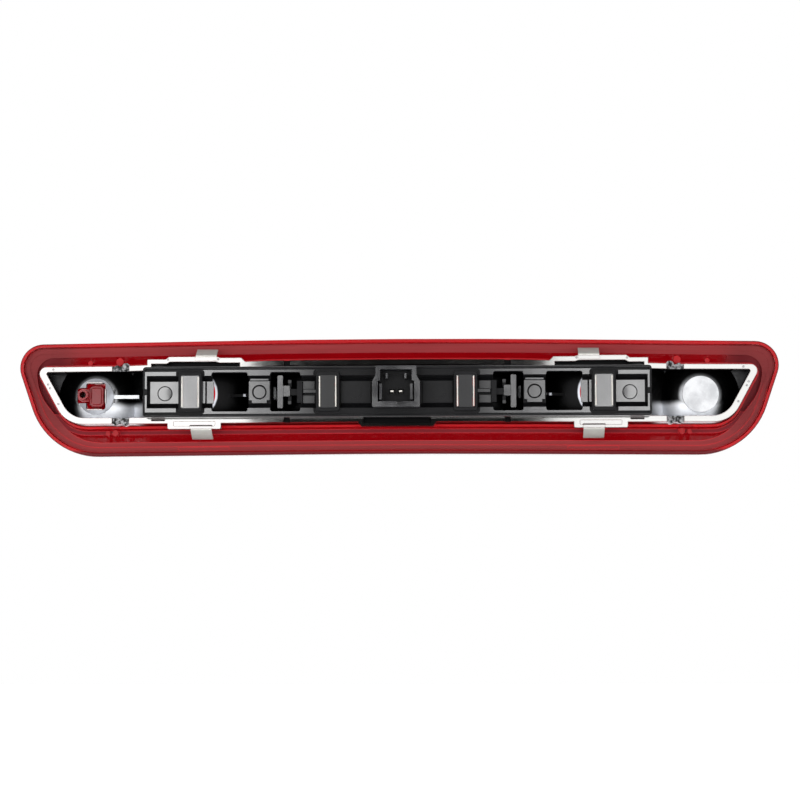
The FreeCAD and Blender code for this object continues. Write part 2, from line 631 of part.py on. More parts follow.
def dished_boss(octagon, x):
    """An eight-cornered boss with a round groove about a low disc."""
    boss = prism(octagon, BOSS_REAR, TRAY_REAR)
    ring_r, disc_r, groove_y = 3.8, 3.0, TRAY_REAR - 0.2
    boss = boss.cut(cylinder_y(x, MID_Z, ring_r, BOSS_REAR - PAST, groove_y))
    return boss.fuse(cylinder_y(x, MID_Z, disc_r, BOSS_REAR + 0.4, groove_y + 0.5))


def pads():
    """Raised pads, bosses and ribs on the tray floor. Right half."""
    low, high = MID_Z - PAD_HALF, MID_Z + PAD_HALF
    # Each plain pad: x from, x to, rear, z from, z to.
    plain = [(112.5, 127.1, PAD_REAR, low, high), (94.4, 97.8, PAD_REAR - 0.6, low, high),
             (98.6, 99.8, PAD_REAR - 1.6, low, high), (42.4, 48.3, PAD_REAR, MID_Z + 1.6, high),
             (42.4, 48.3, PAD_REAR, low, MID_Z - 1.8), (40.0, 47.9, -20.6, MID_Z - 0.6, MID_Z + 1.0),
             (13.5, 28.6, PAD_REAR + 0.2, low, high), (29.6, 30.4, PAD_REAR - 1.4, low, high)]
    made = [block(x0, x1, rear, TRAY_REAR, z0, z1) for x0, x1, rear, z0, z1 in plain]
    knob_x, knob_z, knob_r, dome_r, groove_r = 119.5, MID_Z - 0.5, 3.4, 50.0, 3.9
    made[0] = made[0].cut(cylinder_y(knob_x, knob_z, groove_r, PAD_REAR - PAST, TRAY_REAR - 0.2))
    knob = Part.makeSphere(dome_r, Vector(knob_x, PAD_REAR - 0.2 + dome_r, knob_z))
    made.append(knob.common(cylinder_y(knob_x, knob_z, knob_r, -FAR, TRAY_REAR)))
    made.append(cylinder_y(21.5, MID_Z, 3.4, PAD_REAR - 0.1, TRAY_REAR))
    x0, x1, notch = BULB_PITCH - BOSS_HALF, BULB_PITCH + BOSS_HALF, 1.5
    octagon = [(x0, high, 0), (x1, high, 0), (x1, low + notch, 0), (x1 - notch, low + notch, 0),
               (x1 - notch, low, 0), (x0 + notch, low, 0), (x0 + notch, low + notch, 0), (x0, low + notch, 0)]
    made.append(dished_boss(octagon, BULB_PITCH))
    made.append(block(x0 + 0.6, x1 - 0.6, BOSS_REAR + 0.6, TRAY_REAR + 1.2, high + 0.5, high + 1.3))
    return made


def windows():
    """Openings through the tray. Right half."""
    low, high = MID_Z - WINDOW_HALF, MID_Z + WINDOW_HALF
    return [rounded_block(x0, x1, -FAR, 0, low, high, 1.2) for x0, x1 in WINDOWS]


def socket_box(x):
    """One wedge-bulb socket: a box that stands proud of the tray, its rear rim rounded, open to the front."""
    box = rounded_block(x - BOX_HALF_X, x + BOX_HALF_X, BOX_REAR, CARRIER_FRONT, MID_Z - BOX_HALF_Z,
                        MID_Z + BOX_HALF_Z, 1.4)
    recess = rounded_block(x - LABEL_HALF_X, x + LABEL_HALF_X, BOX_REAR - PAST, LABEL_REAR, MID_Z - LABEL_HALF_Z,
                           MID_Z + LABEL_HALF_Z, 0.7)
    return rounded_rear(box.cut(recess), BOX_REAR, 0.45)


def socket_cuts(x):
    """The socket's hollow for the wedge base and the slots for its two contact springs."""
    play = 0.15
    half_slot, half_slot_z = CONTACT_T / 2 + play, CONTACT_HALF_Z + play
    back, front = LABEL_REAR + 0.7, CARRIER_FRONT + PAST
    low, high = MID_Z - SOCKET_HALF_Z, MID_Z + SOCKET_HALF_Z
    cuts = [block(x - SOCKET_HALF_X, x + SOCKET_HALF_X, back, front, low, high)]
    for s in ENDS:
        at = x + s * CONTACT_X
        cuts.append(block(at - half_slot, at + half_slot, BOX_REAR - PAST, front, MID_Z - half_slot_z,
                          MID_Z + half_slot_z))
        cuts.append(block(x + s * (SOCKET_HALF_X - 0.4), at - s * play, back, front, low, high))
    return cuts


def header_outline(grow):
    """The connector shroud's outline: wide below, narrower above, with sloping shoulders."""
    right = [(10.4, 13.6), (10.4, 8.9), (12.15, 5.6), (12.15, -7.3)]
    corners = right + [(-x, z) for x, z in reversed(right)]
    return inset([(x, z, 0.5) for x, z in corners], -grow)


def header_shroud():
    """The shroud, its stepped cavity, two key ribs, two guide steps and the well round each pin."""
    outer = prism(header_outline(0), HEADER_REAR, TRAY_REAR)
    key_ribs = [block(s * 5.2, s * 4.3, HEADER_REAR + 1.2, HEADER_FLOOR, 7.2, 9.8) for s in ENDS]
    steps = [block(s * 8.4, s * 7.2, HEADER_REAR + 0.6, HEADER_FLOOR, -3.6, 4.4) for s in ENDS]
    upper = block(-8.1, 8.1, HEADER_REAR - PAST, HEADER_FLOOR, 6.0, 11.8)
    lower = block(-9.3, 9.3, HEADER_REAR - PAST, HEADER_FLOOR, -4.6, 6.0)
    notch = block(0.2, 3.4, HEADER_REAR - PAST, -27.5, -6.0, -4.0)
    shroud = outer.cut(upper).cut(lower).cut(notch)
    for s in ENDS:
        x = s * PIN_X
        well = block(x - PIN_WELL, x + PIN_WELL, HEADER_FLOOR - PAST, HEADER_FLOOR + 2.2, PIN_Z - PIN_WELL,
                     PIN_Z + PIN_WELL)
        shroud = shroud.cut(well)
    return fuse([shroud] + key_ribs + steps)


def rail_slots():
    """Slots that hold the two conductor rails, with the crossings to each contact spring and each pin."""
    cuts = []
    front = CARRIER_FRONT + PAST
    crossing = 0.6
    for s in ENDS:
        cuts.append(block(-RAIL_HALF - 1.5, RAIL_HALF + 1.5, RAIL_Y[0] - 0.3, front, MID_Z + s * RAIL_Z,
                          MID_Z + s * (RAIL_Z + RAIL_T + 0.15)))
        for x in BULB_X:
            at = x - s * CONTACT_X
            cuts.append(block(at - crossing, at + crossing, -15.4, front, MID_Z + s * (CONTACT_HALF_Z - 0.1),
                              MID_Z + s * (RAIL_Z + 0.5)))
        cuts.append(block(-s * PIN_X - PIN_W / 2 - 0.2, -s * PIN_X + PIN_W / 2 + 0.2, TRAY_FRONT - 1.3, front,
                          MID_Z + s * 8.3, MID_Z + s * (RAIL_Z + 0.5)))
    return cuts


def bulb_carrier():
    body = tray()
    for cutter in with_mirror(windows()):
        body = body.cut(cutter)
    body = fuse([body, header_shroud()] + with_mirror(pads()) + [socket_box(x) for x in BULB_X])
    cuts = rail_slots()
    for x in BULB_X:
        cuts += socket_cuts(x)
    half_x, half_z = PIN_W / 2 + 0.15, PIN_T / 2 + 0.1
    for s in ENDS:
        cuts.append(block(s * PIN_X - half_x, s * PIN_X + half_x, HEADER_FLOOR - PAST, TRAY_FRONT + PAST,
                          PIN_Z - half_z, PIN_Z + half_z))
        cuts.append(latch_seat(s))
    for cutter in cuts:
        body = body.cut(cutter)
    return fuse([body] + with_mirror([latch_bracket()]))


# ---------------------------------------------------------------- latches of the carrier
def latch_bead(side, radius, low, high):
    return Part.makeCylinder(radius, high - low, Vector(side * LATCH_AXIS_X, LATCH_AXIS_Y, low), Vector(0, 0, 1))


def latch_seat(side):
    """Round seat and mouth in the window's wall for the lever's bead."""
    low, high = MID_Z - LATCH_HALF_Z - 0.2, MID_Z + LATCH_HALF_Z + 0.2
    seat = latch_bead(side, LATCH_BEAD + 0.08, low, high)
    mouth_half = LATCH_BEAD - 0.15
    mouth = block(side * (LATCH_AXIS_X - 0.2), side * (LATCH_AXIS_X + 3), LATCH_AXIS_Y - mouth_half,
                  LATCH_AXIS_Y + mouth_half, low, high)
    return seat.fuse(mouth)


def latch_bracket():
    """The tray's upright that the lever's bead turns in."""
    upright = block(LATCH_AXIS_X - 1.6, LATCH_AXIS_X + 1.0, -19.2, TRAY_FRONT, MID_Z - PAD_HALF, MID_Z + PAD_HALF)
    return upright.cut(latch_seat(1))


def latch_lever(side):
    """Thumb bar, arm and hook in one piece, on a round bead in the tray."""
    bead = latch_bead(1, LATCH_BEAD, MID_Z - LATCH_HALF_Z, MID_Z + LATCH_HALF_Z)
    neck_half_y, neck_half_z = LATCH_BEAD / 2, 1.6
    neck = block(LATCH_AXIS_X + 0.3, 56.2, LATCH_AXIS_Y - neck_half_y, LATCH_AXIS_Y + neck_half_y,
                 MID_Z - neck_half_z, MID_Z + neck_half_z)
    hub = rounded_block(55.0, 58.8, -18.4, -14.2, MID_Z - 2.2, MID_Z + 3.2, 0.6)
    thumb_bar = rounded_block(58.5, 61.2, -19.9, -13.8, MID_Z - 8.4, MID_Z + 8.4, 0.5)
    tab_x, tab_y = (54.3, 55.9), (-17.8, -15.4)
    tabs = [block(*tab_x, *tab_y, z0, z0 + 1.6) for z0 in (MID_Z + 4.6, MID_Z - 6.2)]
    bridges = [block(*tab_x, -16.8, -15.8, MID_Z + 2.5, MID_Z + 5.0),
               block(*tab_x, -16.8, -15.8, MID_Z - 5.0, MID_Z - 2.0)]
    hook_x, hook_half = (59.2, 61.0), 2.0
    hook_leg = block(*hook_x, -14.0, -8.8, MID_Z - hook_half, MID_Z + hook_half)
    barb = plate_z([(60.9, -10.9), (62.1, -10.7), (62.1, -10.2), (60.9, -8.8)], MID_Z - hook_half,
                   MID_Z + hook_half)
    lever = fuse([bead, neck, hub, thumb_bar, hook_leg, barb] + tabs + bridges)
    return lever if side > 0 else mirrored(lever)


# ---------------------------------------------------------------- conductors
def contact_spring(x, side):
    """A stamped spring beside the bulb's wedge: a flat plate with a tongue bent in to press on the base."""
    at = x + side * CONTACT_X
    half = CONTACT_T / 2
    rear, front = BOX_REAR + 0.25, -13.9
    plate = block(at - half, at + half, rear, front, MID_Z - CONTACT_HALF_Z, MID_Z + CONTACT_HALF_Z)
    slit = block(at - PAST, at + PAST, -20.2, -14.6, MID_Z - 4.6, MID_Z + 4.6)
    inner_face = at - side * (half - 0.1)
    press_x, press_y, press_t = x + side * (WEDGE_HALF_X + 0.53), -17.2, 0.5
    tongue = [(inner_face, -14.5), (press_x, press_y), (inner_face, -20.4), (inner_face, -19.7),
              (press_x + side * press_t, press_y), (inner_face, -15.2)]
    ends = [block(at - half, at + half, y0, y0 + 1.0, MID_Z - 2.4, MID_Z + 2.4) for y0 in (-15.3, -20.6)]
    leaf = plate_z(tongue, MID_Z - 2.2, MID_Z + 2.2)
    return fuse([plate.cut(slit), leaf] + ends)


def conductor_rail(side):
    """A stamped rail along the carrier, with one finger to each socket."""
    rail = block(-RAIL_HALF, RAIL_HALF, *RAIL_Y, MID_Z + side * RAIL_Z, MID_Z + side * (RAIL_Z + RAIL_T))
    fingers = []
    for x in BULB_X:
        at = x - side * CONTACT_X
        fingers.append(block(at - 0.4, at + 0.4, -15.1, -13.9, MID_Z + side * CONTACT_HALF_Z,
                             MID_Z + side * (RAIL_Z + 0.3)))
    return fuse([rail] + fingers)


def header_pin(side):
    """A blade terminal: tip in the connector, root bent along the tray to its rail."""
    x0, x1 = -side * PIN_X - PIN_W / 2, -side * PIN_X + PIN_W / 2
    half = PIN_T / 2
    root, sheet = TRAY_FRONT + 0.55, 0.5
    blade = block(x0, x1, PIN_TIP, root, PIN_Z - half, PIN_Z + half)
    tail = block(x0, x1, root - sheet, root, PIN_Z - side * half, MID_Z + side * RAIL_Z)
    foot = block(x0, x1, TRAY_FRONT - 1.1, TRAY_FRONT + 0.3, MID_Z + side * (RAIL_Z - 0.6), MID_Z + side * RAIL_Z)
    return fuse([blade, tail, foot])


# ---------------------------------------------------------------- wedge bulbs
def glass_envelope(x, wall, neck):
    """The envelope's outside, or its inside where wall is the glass's thickness."""
    radius, tip = GLASS_R - wall, GLASS_TIP - wall
    tube = cylinder_y(x, MID_Z, radius, neck, tip - radius)
    dome = Part.makeSphere(radius, Vector(x, tip - radius, MID_Z))
    return tube.fuse(dome.common(slab(x - FAR, x + FAR, neck, FAR)))


def bulb_glass(x):
    """Envelope and wedge base, in one piece of glass."""
    shell = glass_envelope(x, 0.0, GLASS_NECK)
    hollow = glass_envelope(x, GLASS_T, GLASS_NECK + 1.4)
    neck = Part.makeCone(GLASS_R, 3.0, 1.6, Vector(x, GLASS_NECK, MID_Z), Vector(0, -1, 0))
    wedge = rounded_block(x - WEDGE_HALF_X, x + WEDGE_HALF_X, WEDGE_END, GLASS_NECK, MID_Z - WEDGE_HALF_Z,
                          MID_Z + WEDGE_HALF_Z, 0.8)
    return fuse([shell, neck, wedge]).cut(hollow).cut(bulb_leads(x))


def bulb_leads(x):
    """Two lead wires: from the filament, through the wedge, and folded back along its faces."""
    wires = []
    for s in ENDS:
        z = MID_Z + s * LEAD_Z
        fold_x, fold_y = x + s * (WEDGE_HALF_X + 0.28), WEDGE_END - 0.28
        points = [(x, FILAMENT_Y, z), (x, fold_y, z), (fold_x, fold_y, z), (fold_x, -15.0, z)]
        runs = [rod(a, b, LEAD_R) for a, b in zip(points, points[1:])]
        bends = [Part.makeSphere(LEAD_R, Vector(*p)) for p in points[1:3]]
        wires.append(fuse(runs + bends))
    return Part.makeCompound(wires)


def bulb_filament(x):
    reach = LEAD_Z - LEAD_R - 0.01
    return rod((x, FILAMENT_Y, MID_Z - reach), (x, FILAMENT_Y, MID_Z + reach), FILAMENT_R)


# ---------------------------------------------------------------- write every part
def main():
    os.makedirs(OUT, exist_ok=True)
    write("outer_lens", outer_lens())
    write("reflector_housing", reflector_housing())
    write("washer_jet_body", washer_jet_body())
    write("washer_jet_ball", washer_jet_ball())
    for side, word in ((-1, "left"), (1, "right")):
        write(f"upper_clip_{word}", retaining_clip(side, UPPER_CLIP))
        write(f"lower_clip_{word}", retaining_clip(side, LOWER_CLIP))
        write(f"latch_lever_{word}", latch_lever(side))
    write("bulb_carrier", bulb_carrier())
    write("supply_rail", conductor_rail(1))
    write("ground_rail", conductor_rail(-1))
    write("supply_pin", header_pin(1))
    write("ground_pin", header_pin(-1))
    for number, x in enumerate(BULB_X, 1):
        write(f"bulb_{number}_glass", bulb_glass(x))
        write(f"bulb_{number}_leads", bulb_leads(x))
        write(f"bulb_{number}_filament", bulb_filament(x))
        write(f"socket_{number}_contact_left", contact_spring(x, -1))
        write(f"socket_{number}_contact_right", contact_spring(x, 1))


main()
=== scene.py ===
"""Looks of the high-mounted third brake light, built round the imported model. Units are metres.

X runs along the lamp, +Z is up, and +Y is the way the light shines. The camera looks along +Y at the
back of the lamp, which is the side that holds the bulb carrier.
"""

import json
import math

import bpy
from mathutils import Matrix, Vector


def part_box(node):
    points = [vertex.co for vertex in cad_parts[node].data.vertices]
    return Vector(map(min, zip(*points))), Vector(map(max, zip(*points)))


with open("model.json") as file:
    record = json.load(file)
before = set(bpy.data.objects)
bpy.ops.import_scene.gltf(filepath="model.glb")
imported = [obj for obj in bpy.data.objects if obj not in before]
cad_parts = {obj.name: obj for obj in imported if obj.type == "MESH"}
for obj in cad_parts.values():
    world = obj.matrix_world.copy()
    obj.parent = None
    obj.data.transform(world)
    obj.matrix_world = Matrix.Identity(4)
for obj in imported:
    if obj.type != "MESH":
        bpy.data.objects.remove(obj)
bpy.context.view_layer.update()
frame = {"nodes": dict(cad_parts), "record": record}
nodes = frame["nodes"]
MM = 0.001

# Depths that the materials measure from. The rear of a piece is the camera's side, at the lower Y, and
# the lens's rim has its rear face, the seat, at Y 0.
LAND_MIDDLE = 2.75 * MM      # middle of the etched land inside the lens's rim, with its step and pads
JET_LIP = 0.2 * MM           # the lips round the washer jet stand this far behind the housing's flange
FRAME_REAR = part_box("reflector_housing")[0][1] + JET_LIP
SPRING_SUNK = 0.25 * MM      # the contact springs end this far inside the carrier's socket boxes
CARRIER_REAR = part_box("socket_1_contact_left")[0][1] - SPRING_SUNK
END_BOWL_X = -sum(corner[0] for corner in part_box("washer_jet_ball")) / 2     # middle of each, + or -

FACTOR, COLOUR_A, COLOUR_B, MIXED = 0, 6, 7, 2       # sockets of a Mix node that mixes colours


# ---------------------------------------------------------------- shader building
class Shader:
    """A material with one Principled shader and helpers for the nodes that feed it."""

    def __init__(self, name, **values):
        self.material = bpy.data.materials.new(name)
        self.material.use_nodes = True
        self.tree = self.material.node_tree
        self.tree.nodes.clear()
        output = self.node("ShaderNodeOutputMaterial")
        self.principled = self.node("ShaderNodeBsdfPrincipled")
        self.link(self.principled.outputs[0], output.inputs["Surface"])
        for key, value in values.items():
            self.principled.inputs[key.replace("_", " ")].default_value = value
        self.place = self.node("ShaderNodeTexCoord").outputs["Object"]

    def node(self, kind, **settings):
        made = self.tree.nodes.new(kind)
        for key, value in settings.items():
            setattr(made, key, value)
        return made

    def link(self, source, target):
        self.tree.links.new(source, target)

    def set(self, name, source):
        """Feeds one input of the Principled shader."""
        self.link(source, self.principled.inputs[name])

    def scaled_place(self, scale):
        mapping = self.node("ShaderNodeMapping")
        mapping.inputs["Scale"].default_value = scale
        self.link(self.place, mapping.inputs["Vector"])
        return mapping.outputs[0]

    def noise(self, size, detail=4.0, roughness=0.55, stretch=(1, 1, 1)):
        """Noise whose blobs are about size metres wide."""
        made = self.node("ShaderNodeTexNoise")
        made.inputs["Scale"].default_value = 1.0 / size
        made.inputs["Detail"].default_value = detail
        made.inputs["Roughness"].default_value = roughness
        self.link(self.scaled_place(stretch), made.inputs["Vector"])
        return made.outputs["Fac"]

    def ramp(self, source, low, high, out_low=0.0, out_high=1.0):
        """Goes smoothly from out_low, where the source is at low, to out_high, where it is at high.
        low may be the larger number."""
        made = self.node("ShaderNodeMapRange", interpolation_type="SMOOTHSTEP")
        made.inputs["From Min"].default_value = low
        made.inputs["From Max"].default_value = high
        made.inputs["To Min"].default_value = out_low
        made.inputs["To Max"].default_value = out_high
        self.link(source, made.inputs["Value"])
        return made.outputs["Result"]

    def math(self, operation, first, second=0.0):
        made = self.node("ShaderNodeMath", operation=operation)
        for socket, value in zip(made.inputs, (first, second)):
            if isinstance(value, (int, float)):
                socket.default_value = value
            else:
                self.link(value, socket)
        return made.outputs[0]

    def chain(self, operation, values):
        """The operation applied to the values from left to right."""
        result = values[0]
        for value in values[1:]:
            result = self.math(operation, result, value)
        return result

    def product(self, *values):
        return self.chain("MULTIPLY", values)

    def total(self, *values):
        return self.chain("ADD", values)

    def largest(self, *values):
        return self.chain("MAXIMUM", values)

    def band(self, source, low, high, soft=0.1 * MM):
        """1 between low and high, 0 outside."""
        above = self.ramp(source, low - soft, low + soft)
        return self.product(above, self.ramp(source, high + soft, high - soft))

    def distance_to(self, x):
        """Distance, as seen along Y, from the points at x on both sides of the lamp."""
        place = self.node("ShaderNodeCombineXYZ")
        self.link(self.distance_along("X"), place.inputs["X"])
        self.link(self.axis("Z"), place.inputs["Z"])
        made = self.node("ShaderNodeVectorMath", operation="DISTANCE")
        self.link(place.outputs[0], made.inputs[0])
        made.inputs[1].default_value = (x, 0, 0)
        return made.outputs["Value"]

    def mix_colour(self, factor, at_0, at_1):
        """at_0 where the factor is 0, at_1 where it is 1. Each is a colour or another node's output."""
        made = self.node("ShaderNodeMix", data_type="RGBA")
        self.link(factor, made.inputs[FACTOR])
        for number, value in ((COLOUR_A, at_0), (COLOUR_B, at_1)):
            if isinstance(value, tuple):
                made.inputs[number].default_value = (*value, 1.0)
            else:
                self.link(value, made.inputs[number])
        return made.outputs[MIXED]

    def axis(self, name):
        """One coordinate of the point, in metres."""
        made = self.node("ShaderNodeSeparateXYZ")
        self.link(self.place, made.inputs[0])
        return made.outputs[name]

    def distance_along(self, name):
        """Distance from the lamp's middle along one axis, the same on both sides."""
        return self.math("ABSOLUTE", self.axis(name))

    def facing(self, name):
        """One component of the surface's own direction."""
        made = self.node("ShaderNodeSeparateXYZ")
        self.link(self.node("ShaderNodeNewGeometry").outputs["True Normal"], made.inputs[0])
        return made.outputs[name]

    def bump(self, height, strength, depth):
        made = self.node("ShaderNodeBump")
        made.inputs["Strength"].default_value = strength
        made.inputs["Distance"].default_value = depth
        self.link(height, made.inputs["Height"])
        self.set("Normal", made.outputs[0])

    def painted_edges(self, radius=0.4 * MM):
        """1 on edges, 0 elsewhere, from how far a bevelled normal turns away from the plain one.
        Painted edge highlights and reflections are laid on it.
        """
        flat, edge = 0.98, 0.80              # cosine between the two normals
        bevel = self.node("ShaderNodeBevel", samples=4)
        bevel.inputs["Radius"].default_value = radius
        geometry = self.node("ShaderNodeNewGeometry")
        dot = self.node("ShaderNodeVectorMath", operation="DOT_PRODUCT")
        self.link(bevel.outputs[0], dot.inputs[0])
        self.link(geometry.outputs["Normal"], dot.inputs[1])
        return self.ramp(dot.outputs["Value"], flat, edge)


# ---------------------------------------------------------------- materials
def red_lens():
    """Clear red acrylic: a bright rim, an etched land inside it, and a deep red channel and face."""
    look = Shader("red_lens", IOR=1.33)
    land_half, edges_half = 0.50 * MM, 0.60 * MM
    ridge_from, ridge_to = 3.25 * MM, 4.6 * MM           # depths
    studs_from, studs_to = 145 * MM, 153 * MM            # along the lamp, on both sides
    depth, height, facing = look.axis("Y"), look.axis("Z"), look.facing("Y")
    across, off_middle = look.distance_along("X"), look.distance_along("Z")
    streak = look.noise(1.6 * MM, 5, 0.6, stretch=(0.05, 1, 1))
    swirl = look.noise(9 * MM, 3, stretch=(0.4, 1, 1))
    grain = look.noise(0.25 * MM, 6, 0.7)

    # Where each surface lies: 1 on it, 0 elsewhere.
    flat_rear = look.ramp(facing, -0.95, -0.99)
    off_land = look.math("ABSOLUTE", look.math("SUBTRACT", depth, LAND_MIDDLE))
    etched = look.product(look.ramp(off_land, land_half, land_half - 0.04 * MM), flat_rear)
    satin_seat = look.product(look.ramp(depth, 0.3 * MM, 0.1 * MM), flat_rear)
    rim = look.ramp(depth, LAND_MIDDLE - 0.7 * MM, LAND_MIDDLE - 1.5 * MM)
    # Painted shade: the rim's red darkens towards the bottom, and the lowest rim is cloudier and darker
    # still.
    lower_run = look.ramp(height, -26.5 * MM, -29 * MM)
    lower_rim_shade = look.product(rim, lower_run, 0.7)
    # Painted shade: the channel's ridge and the lamp's slanted ends get a darker red; they are also made
    # cloudier.
    ridge_and_ends = look.largest(look.band(depth, ridge_from, ridge_to, 0.03 * MM),
                                  look.ramp(across, 164 * MM, 180 * MM))
    shaded_ridge_and_ends = look.product(ridge_and_ends, look.ramp(facing, -0.6, -0.9),
                           look.ramp(depth, ridge_from - 0.01 * MM, ridge_from + 0.03 * MM))
    # Painted light: the rear-facing inner face in the middle gets a much paler red.
    inner_face_painted_light = look.product(look.ramp(off_middle, 18 * MM, 6 * MM), look.ramp(depth, 5 * MM, 6 * MM),
                              look.ramp(across, 150 * MM, 130 * MM), look.ramp(facing, -0.1, -0.4))
    # Painted shade: the lower studs get a darker, cloudier red.
    lower_studs_shade = look.product(look.band(across, studs_from, studs_to),
                               look.ramp(depth, -0.1 * MM, -0.3 * MM),
                               look.ramp(height, -15 * MM, -16 * MM, 0.0, 0.55))
    on_land = look.band(depth, LAND_MIDDLE - edges_half, LAND_MIDDLE + edges_half, 0.05 * MM)
    lit_edges = look.product(on_land, look.painted_edges(0.9 * MM), look.ramp(height, 8 * MM, 2 * MM))
    shaded = look.largest(look.ramp(across, 160 * MM, 185 * MM), look.ramp(height, -12 * MM, -24 * MM))

    frost = look.mix_colour(streak, (0.17, 0.017, 0.019), (0.27, 0.036, 0.038))
    frost = look.mix_colour(look.product(shaded, 0.35), frost, (0.10, 0.009, 0.010))
    # Painted shade: a darker red along the bottom of the rim.
    rim_red = look.mix_colour(lower_run, (0.36, 0.0012, 0.004), (0.12, 0.001, 0.003))
    clear = look.mix_colour(swirl, (0.30, 0.0012, 0.004), (0.20, 0.0006, 0.0025))
    clear = look.mix_colour(rim, clear, rim_red)
    clear = look.mix_colour(inner_face_painted_light, clear, (0.62, 0.02, 0.028))
    clear = look.mix_colour(shaded_ridge_and_ends, clear, (0.12, 0.005, 0.009))
    clear = look.mix_colour(lower_studs_shade, clear, (0.08, 0.004, 0.006))
    clear = look.mix_colour(lower_rim_shade, clear, (0.05, 0.001, 0.003))
    red = look.mix_colour(etched, clear, frost)
    look.set("Base Color", look.mix_colour(lit_edges, red, (0.50, 0.02, 0.025)))

    cloudy = look.total(etched, satin_seat, shaded_ridge_and_ends, look.largest(lower_studs_shade, lower_rim_shade))
    look.set("Transmission Weight", look.ramp(cloudy, 0.0, 1.0, 0.93, 0.35))
    look.set("Specular IOR Level", look.ramp(facing, -0.2, 0.2, 0.03, 0.5))
    haze = look.total(look.product(look.largest(etched, shaded_ridge_and_ends), 0.5), look.product(satin_seat, 0.3))
    look.set("Roughness", look.total(haze, look.ramp(grain, 0.3, 0.7, 0.02, 0.06)))
    look.bump(look.total(look.product(grain, etched), look.noise(14 * MM, 2)), 0.2, 0.05 * MM)
    return look.material


def chrome_housing():
    """Metallised plastic: mirror bright on the front. On the back, a bright flange, pads and hole rims
    over a smoky skin. A painted reflection lies on the lower half of the end bowls and in a ring round
    each end disc, and the skin behind the bulb bowls is painted darker as shade."""
    look = Shader("chrome_housing", Metallic=1.0)
    depth, height = look.axis("Y"), look.axis("Z")
    across, off_middle = look.distance_along("X"), look.distance_along("Z")
    from_end_bowl = look.distance_to(END_BOWL_X)
    haze = look.noise(18 * MM, 5)
    blotches = look.noise(5 * MM, 6, 0.7)
    mottle = look.ramp(look.noise(1.6 * MM, 5, 0.7), 0.42, 0.62)
    disc_noise = look.ramp(look.noise(9 * MM, 4), 0.35, 0.65)

    # Where each surface lies: 1 on it, 0 elsewhere. From the rear: flange, pad, notch, hole rim.
    rear_side = look.ramp(look.facing("Y"), 0.25, 0.0)
    right_half = look.ramp(look.axis("X"), -1 * MM, 1 * MM)
    bulb_bowls_shade = look.ramp(across, 124 * MM, 120 * MM)
    flange = look.ramp(depth, FRAME_REAR + 0.5 * MM, FRAME_REAR + 0.3 * MM)
    pad = look.band(depth, FRAME_REAR + 0.5 * MM, FRAME_REAR + 0.95 * MM, 0.05 * MM)
    notch = look.band(depth, FRAME_REAR + 1.1 * MM, FRAME_REAR + 1.75 * MM, 0.05 * MM)
    inside = look.ramp(depth, FRAME_REAR + 1.8 * MM, FRAME_REAR + 2.2 * MM)
    hole_rim = look.product(look.band(depth, FRAME_REAR + 2.1 * MM, FRAME_REAR + 2.5 * MM),
                            look.ramp(off_middle, 10.5 * MM, 9.5 * MM))
    # Painted reflection: light grey over the lower half of each end bowl and in a ring round its disc.
    lower_half = look.product(look.band(across, 133 * MM, 165 * MM, 4 * MM),
                              look.ramp(height, -2 * MM, -6 * MM))
    halo = look.product(look.ramp(from_end_bowl, 11.8 * MM, 9.5 * MM), 0.45)
    painted_reflection = look.product(look.largest(lower_half, halo), inside)
    disc = look.product(look.ramp(from_end_bowl, 9.9 * MM, 9.6 * MM), pad)

    mirror = look.mix_colour(haze, (0.80, 0.81, 0.83), (0.90, 0.905, 0.92))
    bare = look.mix_colour(look.ramp(blotches, 0.3, 0.7), (0.008, 0.008, 0.0082), (0.018, 0.018, 0.0185))
    # Painted shade: near black behind the bulb bowls.
    bare = look.mix_colour(bulb_bowls_shade, bare, (0.003, 0.003, 0.0031))
    painted_reflection_grey = look.mix_colour(blotches, (0.55, 0.56, 0.59), (0.85, 0.865, 0.89))
    mottled = look.mix_colour(mottle, (0.004, 0.004, 0.004), (0.07, 0.07, 0.072))
    patchy = look.mix_colour(look.ramp(blotches, 0.35, 0.65), (0.11, 0.112, 0.116), (0.19, 0.195, 0.20))
    plated = look.mix_colour(haze, (0.150, 0.149, 0.146), (0.175, 0.174, 0.170))
    # Painted reflection: a dark reddish line along the flange's edges.
    plated = look.mix_colour(look.painted_edges(0.7 * MM), plated, (0.030, 0.010, 0.011))
    # The disc at the right end is given a lighter grey than the one at the left end.
    left_disc_grey = look.mix_colour(disc_noise, (0.045, 0.046, 0.050), (0.085, 0.088, 0.095))
    right_disc_grey = look.mix_colour(disc_noise, (0.12, 0.122, 0.126), (0.17, 0.172, 0.176))
    back = look.mix_colour(painted_reflection, bare, painted_reflection_grey)
    back = look.mix_colour(hole_rim, back, (0.17, 0.175, 0.19))
    back = look.mix_colour(notch, back, mottled)
    back = look.mix_colour(pad, back, patchy)
    back = look.mix_colour(flange, back, plated)
    back = look.mix_colour(disc, back, look.mix_colour(right_half, left_disc_grey, right_disc_grey))
    look.set("Base Color", look.mix_colour(rear_side, mirror, back))

    matt = look.total(look.product(inside, rear_side, 0.25), look.product(painted_reflection, 0.35))
    look.set("Roughness", look.total(look.ramp(haze, 0.25, 0.75, 0.04, 0.09), matt))
    look.bump(look.noise(7 * MM, 2), 0.05, 0.03 * MM)
    return look.material


